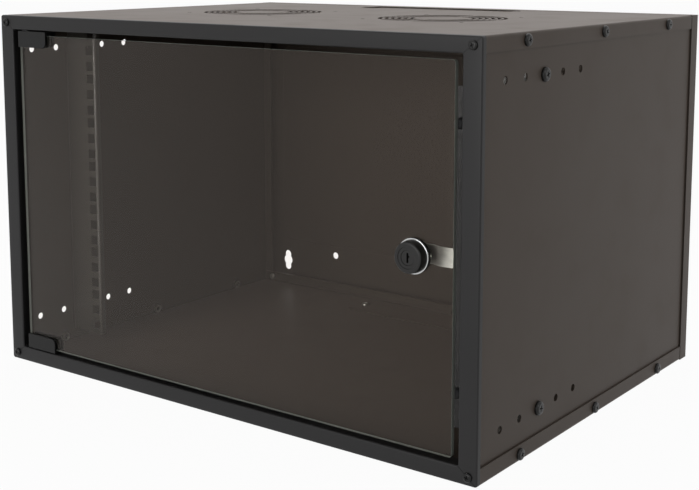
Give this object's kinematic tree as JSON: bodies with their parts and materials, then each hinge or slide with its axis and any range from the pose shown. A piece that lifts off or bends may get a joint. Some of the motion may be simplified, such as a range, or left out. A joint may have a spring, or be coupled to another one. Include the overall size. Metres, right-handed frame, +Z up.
{
  "type": "wall mount network cabinet",
  "caption": "Small wall-mounted rack cabinet: folded steel housing, framed glass door on pivot hinges, cam lock, square-hole rack rails and round fan vents.",
  "frame": {"origin": "centre of the cabinet's box in plan, on the plane of its underside", "axes": "+Z up, -Y towards the user through the glass door, +X to the right as seen from the front"},
  "size_m": [0.5452, 0.4124, 0.342],
  "materials": {
    "frame_paint": "blue-black powder coat, satin",
    "panel_paint": "dark warm grey powder coat, satin",
    "rail_paint": "dark powder coat, satin",
    "glass": "lightly tinted toughened glass with polished edges",
    "rubber": "matt black rubber",
    "nylon": "black nylon",
    "hinge_black": "die-cast zinc, painted satin black",
    "lock_black": "die-cast zinc, glossy black",
    "chrome": "polished chrome",
    "cam_steel": "zinc-plated steel",
    "zinc_steel": "zinc-plated steel",
    "black_screw": "blackened steel"
  },
  "bodies": {
    "cabinet": {"back_panel": "panel_paint", "back_panel_nuts": "zinc_steel", "back_panel_screws": "zinc_steel", "bottom_cable_cover": "panel_paint", "bottom_cover_screws": "zinc_steel", "bottom_flange_screws": "black_screw", "bottom_panel": "panel_paint", "door_buffers": "rubber", "flange_nuts": "zinc_steel", "front_frame": "frame_paint", "front_frame_nuts": "zinc_steel", "front_frame_screws": "black_screw", "left_rail": "rail_paint", "left_side_panel": "panel_paint", "lower_hinge_bush": "nylon", "rail_nuts": "zinc_steel", "rail_screws": "black_screw", "right_rail": "rail_paint", "right_side_panel": "panel_paint", "top_cable_cover": "panel_paint", "top_cover_screws": "zinc_steel", "top_flange_screws": "black_screw", "top_panel": "panel_paint", "upper_hinge_bush": "nylon"},
    "door": {"glass_pane": "glass", "lock_gaskets": "rubber", "lock_housing": "lock_black", "lock_nut": "zinc_steel", "lock_ring": "chrome", "lower_hinge_clamp": "hinge_black", "lower_hinge_pads": "rubber", "lower_hinge_pin": "zinc_steel", "lower_hinge_plate": "zinc_steel", "lower_hinge_screws": "zinc_steel", "upper_hinge_clamp": "hinge_black", "upper_hinge_pads": "rubber", "upper_hinge_pin": "zinc_steel", "upper_hinge_plate": "zinc_steel", "upper_hinge_screws": "zinc_steel"},
    "lock": {"cam_screw": "zinc_steel", "lock_cam": "cam_steel", "lock_plug": "lock_black"}
  },
  "joints": [
    {"name": "door_swing", "type": "hinge", "parent": "cabinet", "child": "door", "pos_m": [-0.2395, -0.19325, 0.171], "axis": [0, 0, -1], "range_deg": [0, 110]},
    {"name": "lock_turn", "type": "hinge", "parent": "door", "child": "lock", "pos_m": [0.2096, -0.18275, 0.171], "axis": [0, 1, 0], "range_deg": [0, 90]}
  ]
}
